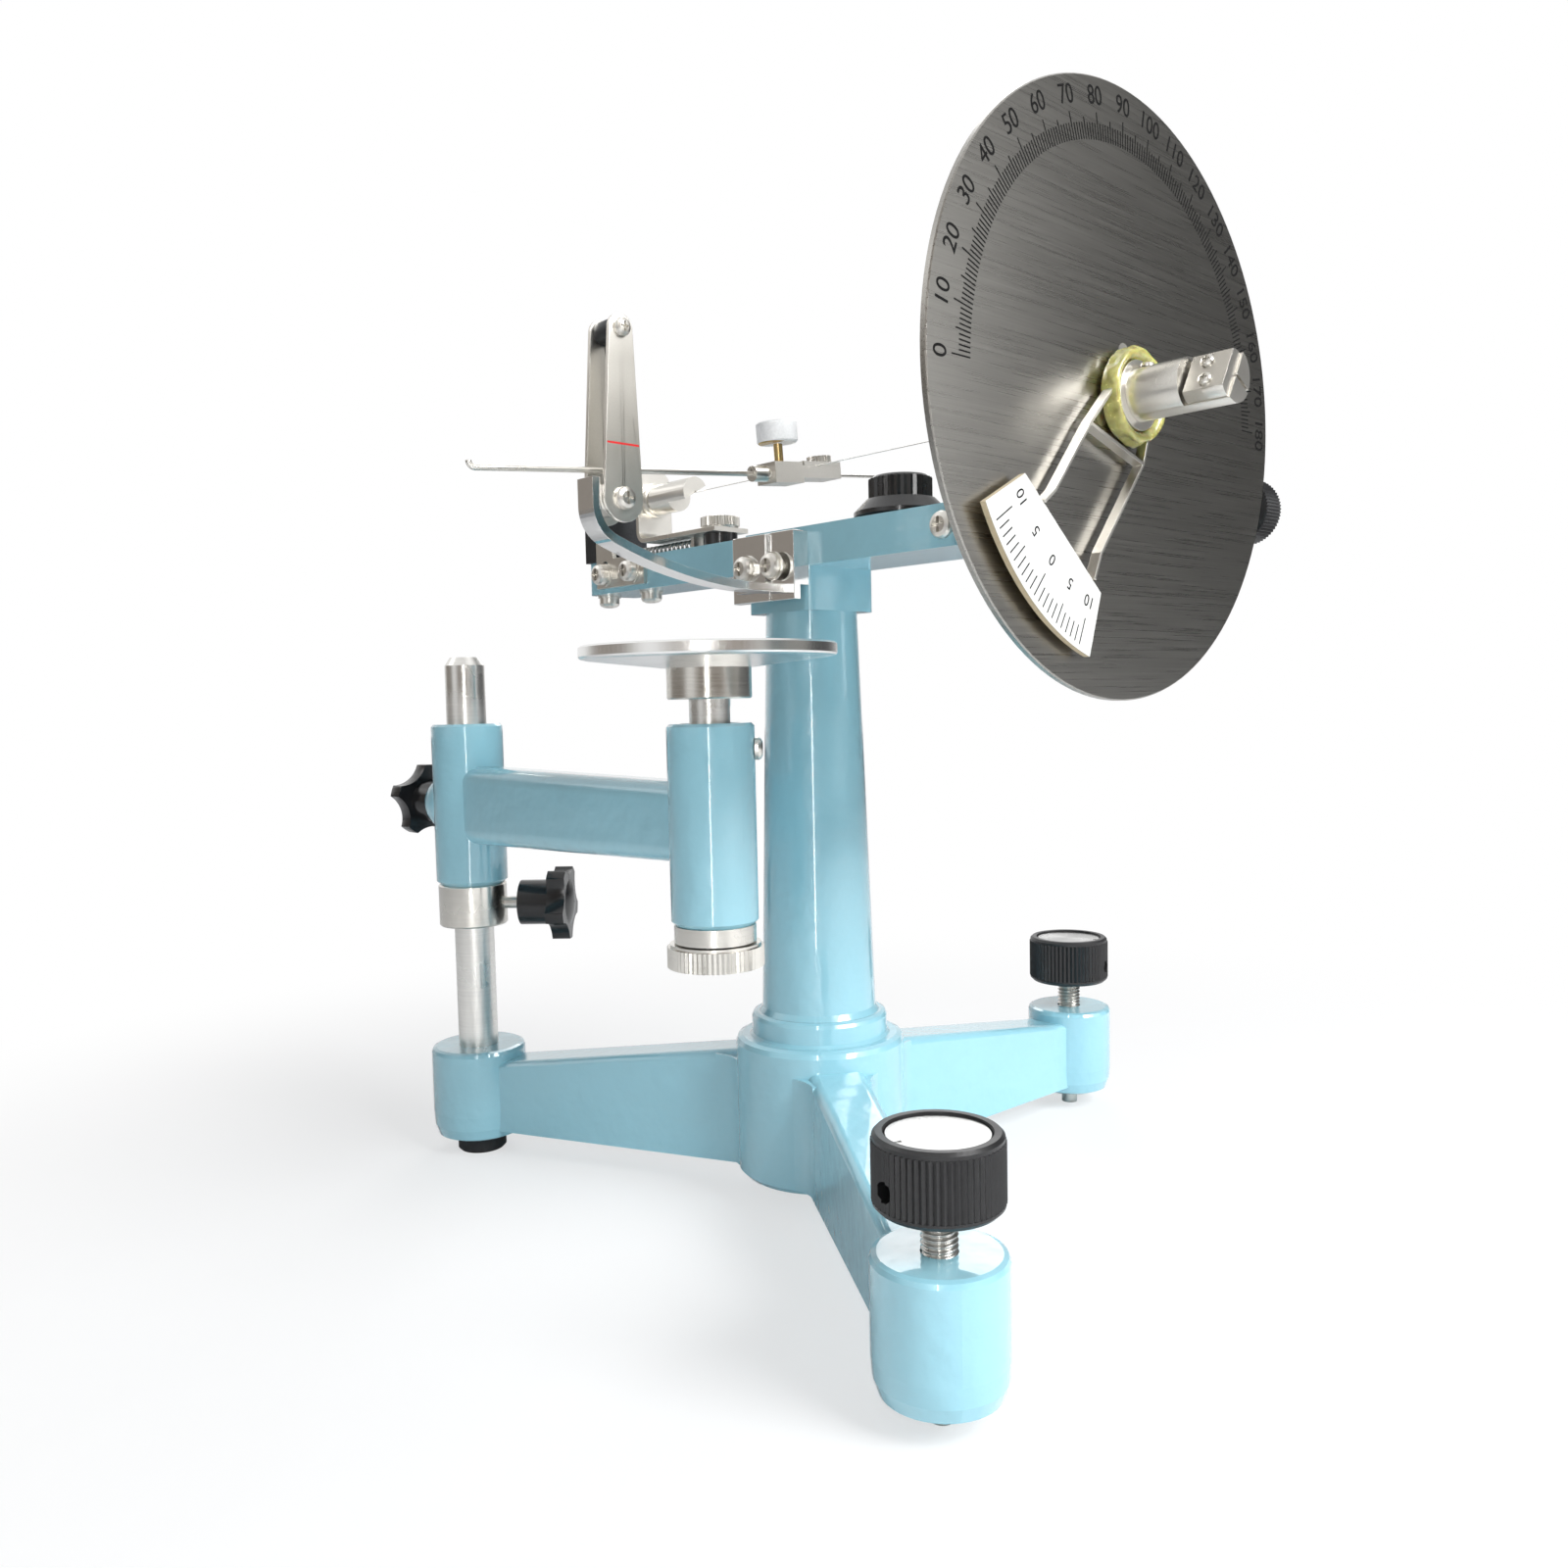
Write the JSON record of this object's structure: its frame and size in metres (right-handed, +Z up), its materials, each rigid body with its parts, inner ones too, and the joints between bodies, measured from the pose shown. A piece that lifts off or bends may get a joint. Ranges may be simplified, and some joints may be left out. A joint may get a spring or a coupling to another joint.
{
  "type": "surface tensiometer",
  "caption": "Ring-pull surface tensiometer: torsion wire lever, worm-driven head with round dial and vernier, index fork, swinging sample table on a levelling tripod.",
  "frame": {"origin": "middle of the outline on the bench, under the stand", "axes": "+Z up; -Y towards the user, who faces the dial; the lever's tip points to -X and the drive knob to +X"},
  "size_m": [0.2505, 0.2784, 0.2883],
  "materials": {
    "enamel": "gloss light blue enamel",
    "stainless": "ground steel",
    "nickel": "satin nickel plate",
    "chrome": "bright chrome plate",
    "dial_steel": "vertically brushed sheet",
    "turned_aluminium": "spun face",
    "dark_steel": "blackened",
    "black_plastic": "gloss moulding",
    "black_rubber": "matt",
    "brass": "machined",
    "white_plastic": "white nylon",
    "sealant": "amber sealing compound"
  },
  "bodies": {
    "stand": {"tripod_base": "enamel", "column": "enamel", "column_bolt": "stainless", "rubber_foot": "black_rubber", "stage_post": "stainless", "beam": "enamel", "bearing_block": "enamel", "bearing_bushes": "brass", "dial_plate": "dial_steel", "rear_block": "dark_steel", "side_plate": "nickel", "pan_screws": "nickel", "screw_washers": "stainless", "small_screws": "nickel", "fork_block": "chrome", "fork_strip": "chrome", "fork_plates": "nickel", "fork_spacer": "dark_steel", "slide_spacers": "black_plastic", "clamp_stud": "stainless", "tension_spring": "stainless"},
    "level_screw_front": {"level_screw_front": "stainless"},
    "level_knob_front": {"level_knob_front": "black_plastic", "level_inlay_front": "turned_aluminium"},
    "level_screw_right": {"level_screw_right": "stainless"},
    "level_knob_right": {"level_knob_right": "black_plastic", "level_inlay_right": "turned_aluminium"},
    "lock_collar": {"lock_collar": "nickel"},
    "collar_star": {"collar_star": "black_plastic"},
    "stage_arm": {"stage_arm": "enamel", "guide_bush": "nickel", "key_screw": "nickel"},
    "arm_star": {"arm_star": "black_plastic"},
    "lift_nut": {"lift_screw": "stainless", "lift_nut": "nickel"},
    "table": {"spindle": "stainless", "table_collar": "nickel", "table_disc": "nickel"},
    "torsion_head": {"head_shaft": "nickel", "worm_wheel": "brass", "shaft_collar": "stainless", "vernier_arm": "nickel", "vernier_plate": "white_plastic", "sealant_ring": "sealant", "wire_clamp": "nickel", "clamp_screws": "nickel"},
    "worm": {"worm_shaft": "stainless", "worm_knob": "black_plastic"},
    "tension_knob": {"tension_knob": "stainless"},
    "tension_slide": {"tension_slide": "nickel", "rear_chuck": "nickel", "slide_sealant": "sealant"},
    "thumb_nut": {"thumb_nut": "nickel"},
    "skirt_knob": {"skirt_knob": "black_plastic"},
    "lever": {"lever_rod": "nickel", "lever_block": "nickel", "clip_plate": "nickel", "torsion_wire": "stainless"},
    "clip_screw": {"clip_screw": "nickel"},
    "lock_screw": {"lock_screw": "white_plastic"}
  },
  "joints": [
    {"name": "level_front_height", "type": "slide", "parent": "stand", "child": "level_screw_front", "axis": [0, 0, -1], "range_m": [-0.004, 0.008]},
    {"name": "level_front_turn", "type": "hinge", "parent": "level_screw_front", "child": "level_knob_front", "pos_m": [-0.08079, -0.1097, 0.05], "axis": [0, 0, 1], "range_deg": [-1152, 2304]},
    {"name": "level_right_height", "type": "slide", "parent": "stand", "child": "level_screw_right", "axis": [0, 0, -1], "range_m": [-0.004, 0.008]},
    {"name": "level_right_turn", "type": "hinge", "parent": "level_screw_right", "child": "level_knob_right", "pos_m": [0.11067, -0.01004, 0.05], "axis": [0, 0, 1], "range_deg": [-1152, 2304]},
    {"name": "collar_height", "type": "slide", "parent": "stand", "child": "lock_collar", "axis": [0, 0, 1], "range_m": [-0.035, 0.004]},
    {"name": "collar_star_turn", "type": "hinge", "parent": "lock_collar", "child": "collar_star", "pos_m": [-0.06664, 0.10621, 0.084], "axis": [0.7071, -0.7071, 0], "range_deg": [-360, 0]},
    {"name": "arm_swing", "type": "hinge", "parent": "lock_collar", "child": "stage_arm", "pos_m": [-0.06664, 0.10621, 0.111], "axis": [0, 0, 1], "range_deg": [-75, 0]},
    {"name": "arm_star_turn", "type": "hinge", "parent": "stage_arm", "child": "arm_star", "pos_m": [-0.06664, 0.10621, 0.11775], "axis": [-0.0297, 0.9996, 0], "range_deg": [-360, 0]},
    {"name": "lift_nut_turn", "type": "hinge", "parent": "stage_arm", "child": "lift_nut", "pos_m": [-0.06296, -0.01773, 0.086], "axis": [0, 0, 1], "range_deg": [-1200, 1440]},
    {"name": "table_height", "type": "slide", "parent": "stage_arm", "child": "table", "axis": [0, 0, 1], "range_m": [-0.005, 0.006]},
    {"name": "head_turn", "type": "hinge", "parent": "stand", "child": "torsion_head", "pos_m": [-0.01325, -0.09571, 0.2183], "axis": [0, 1, 0], "range_deg": [-10, 230]},
    {"name": "worm_turn", "type": "hinge", "parent": "stand", "child": "worm", "pos_m": [0.02675, -0.09571, 0.2018], "axis": [1, 0, 0], "range_deg": [-481, 11041]},
    {"name": "tension_knob_turn", "type": "hinge", "parent": "stand", "child": "tension_knob", "pos_m": [-0.01325, 0.09829, 0.2183], "axis": [0, 1, 0], "range_deg": [-1440, 360]},
    {"name": "slide_travel", "type": "slide", "parent": "stand", "child": "tension_slide", "axis": [0, 1, 0], "range_m": [-0.004, 0.001], "deforming": ["tension_spring"]},
    {"name": "thumb_nut_turn", "type": "hinge", "parent": "stand", "child": "thumb_nut", "pos_m": [-0.01325, 0.03529, 0.2049], "axis": [0, 0, 1], "range_deg": [0, 720]},
    {"name": "skirt_knob_turn", "type": "hinge", "parent": "stand", "child": "skirt_knob", "pos_m": [-0.01325, -0.04171, 0.2039], "axis": [0, 0, 1], "range_deg": [0, 360]},
    {"name": "lever_tilt", "type": "hinge", "parent": "stand", "child": "lever", "pos_m": [-0.01325, -0.00571, 0.2183], "axis": [0, 1, 0], "range_deg": [0, 14], "stiffness_Nm_per_rad": 0.01},
    {"name": "clip_screw_turn", "type": "hinge", "parent": "lever", "child": "clip_screw", "pos_m": [-0.00885, -0.00571, 0.22069], "axis": [-0.0872, 0, 0.9962], "range_deg": [0, 360]},
    {"name": "lock_screw_turn", "type": "hinge", "parent": "lever", "child": "lock_screw", "pos_m": [-0.02542, -0.00571, 0.22426], "axis": [-0.0872, 0, 0.9962], "range_deg": [0, 360]}
  ],
  "couplings": [
    {"joint": "level_front_turn", "follows": "level_front_height", "rad_per_m": 5026.5},
    {"joint": "level_right_turn", "follows": "level_right_height", "rad_per_m": 5026.5},
    {"joint": "lift_nut_turn", "follows": "table_height", "rad_per_m": 4188.8},
    {"joint": "worm_turn", "follows": "head_turn", "ratio": 48},
    {"joint": "tension_knob_turn", "follows": "slide_travel", "rad_per_m": 6283.2}
  ]
}
